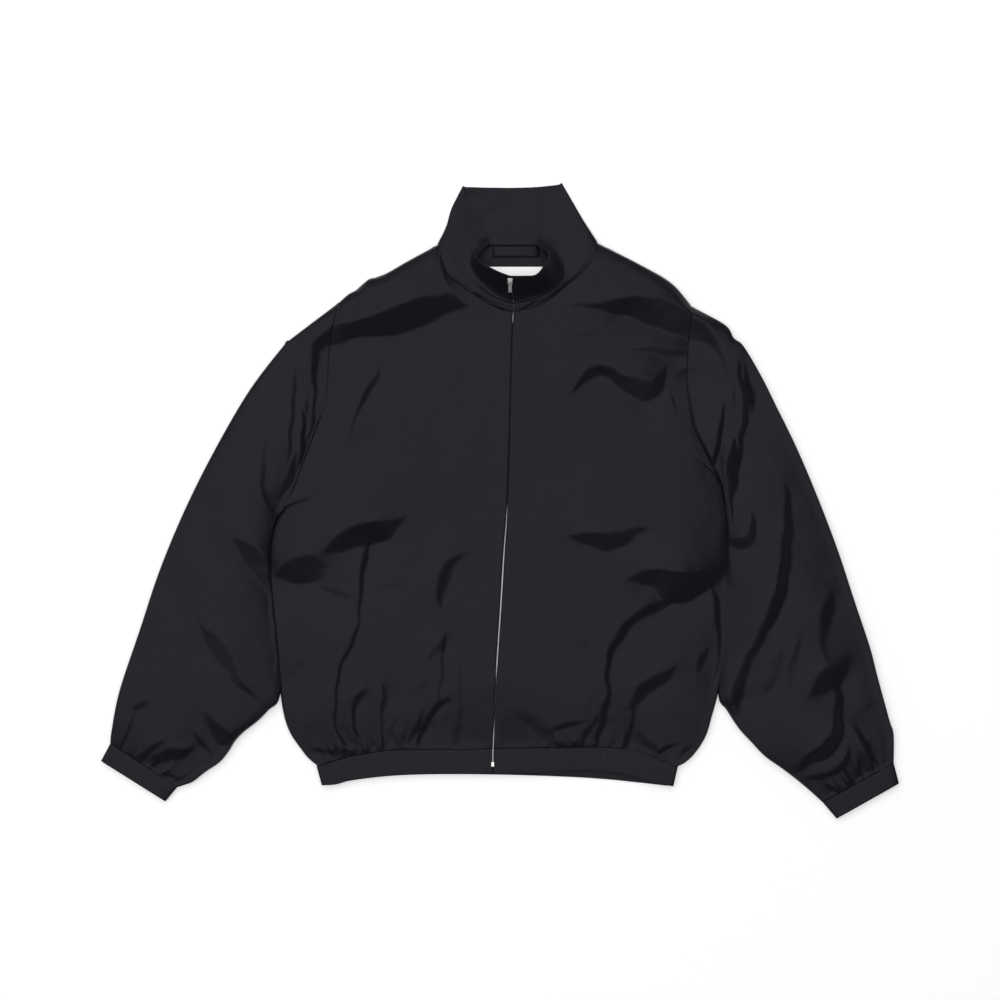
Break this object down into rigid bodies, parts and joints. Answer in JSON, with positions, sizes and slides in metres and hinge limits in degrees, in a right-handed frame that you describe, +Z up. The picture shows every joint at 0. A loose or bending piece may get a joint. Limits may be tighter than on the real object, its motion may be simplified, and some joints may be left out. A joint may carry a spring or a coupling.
{
  "type": "track jacket",
  "caption": "Long-sleeved track jacket laid flat, zipped to the top of a stand collar, with gathered hem and cuffs.",
  "frame": {"origin": "centre of the laid jacket's outline, on the surface it lies on", "axes": "+X to the wearer's left across the sleeves, +Y from hem to collar, +Z up from the surface"},
  "size_m": [0.996, 0.7938, 0.0523],
  "materials": {
    "navy_satin": "smooth dark navy satin",
    "zip_tape": "dark woven tape",
    "label_cloth": "white woven label, blank",
    "zip_metal": "silver coloured, satin"
  },
  "bodies": {
    "jacket": {"back": "navy_satin", "front_left": "navy_satin", "front_right": "navy_satin", "sleeve_left": "navy_satin", "sleeve_right": "navy_satin", "cuff_left": "navy_satin", "cuff_right": "navy_satin", "hem_band": "navy_satin", "collar": "navy_satin", "zip_tape_left": "zip_tape", "zip_tape_right": "zip_tape", "neck_label": "label_cloth", "hanger_loop": "navy_satin", "zip_slider": "zip_metal", "zip_stop": "zip_metal"},
    "pull_tab": {"zip_pull": "zip_metal"}
  },
  "joints": [
    {"name": "pull_tab_hinge", "type": "hinge", "parent": "jacket", "child": "pull_tab", "pos_m": [0.0125, 0.26999, 0.04953], "axis": [-1, 0, 0], "range_deg": [0, 150]}
  ]
}
